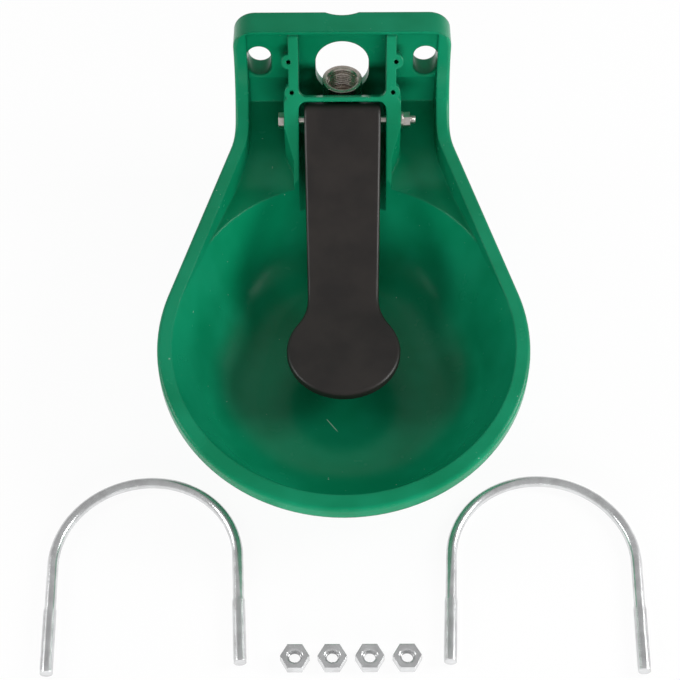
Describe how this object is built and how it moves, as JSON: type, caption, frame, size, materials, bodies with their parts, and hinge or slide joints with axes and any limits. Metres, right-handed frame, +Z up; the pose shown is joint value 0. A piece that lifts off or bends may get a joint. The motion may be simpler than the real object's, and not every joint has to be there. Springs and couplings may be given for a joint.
{
  "type": "livestock drinking bowl",
  "caption": "Wall or post mounted animal drinking bowl: flared basin, lever with a round tongue that opens a water valve, pipe socket, U-bolts and nuts.",
  "frame": {"origin": "midway between the two upper mounting slots, on the wall face", "axes": "+Y runs into the wall, +Z up, +X to the right of a person who faces the bowl"},
  "size_m": [0.3866, 0.4364, 0.161],
  "materials": {
    "green_plastic": "glossy moulded green",
    "black_plastic": "satin black",
    "stainless": "bright",
    "socket_steel": "nickel bright",
    "rubber": "matte",
    "brass": "machined",
    "zinc_steel": "bright zinc plating"
  },
  "bodies": {
    "bowl": {"bowl_body": "green_plastic", "pivot_bolt": "stainless", "pivot_washer": "stainless", "pivot_nut": "stainless", "inlet_socket": "socket_steel", "socket_gasket": "rubber", "valve_housing": "brass", "valve_seat": "brass", "valve_spring": "stainless", "valve_cap": "brass", "cap_o_ring": "rubber", "u_bolt_left": "zinc_steel", "u_bolt_right": "zinc_steel", "u_bolt_nut_1": "zinc_steel", "u_bolt_nut_2": "zinc_steel", "u_bolt_nut_3": "zinc_steel", "u_bolt_nut_4": "zinc_steel"},
    "paddle": {"paddle": "black_plastic"},
    "stem": {"valve_stem": "stainless", "valve_seal": "rubber", "stem_clip": "stainless"}
  },
  "joints": [
    {"name": "paddle_pivot", "type": "hinge", "parent": "bowl", "child": "paddle", "pos_m": [0, -0.05, -0.0266], "axis": [1, 0, 0], "range_deg": [0, 6], "stiffness_Nm_per_rad": 4, "springref_deg": -5.73},
    {"name": "stem_slide", "type": "slide", "parent": "bowl", "child": "stem", "axis": [0, 1, 0], "range_m": [0, 0.00376], "deforming": ["valve_spring"]}
  ],
  "couplings": [
    {"joint": "stem_slide", "follows": "paddle_pivot", "m_per_rad": 0.0359}
  ]
}
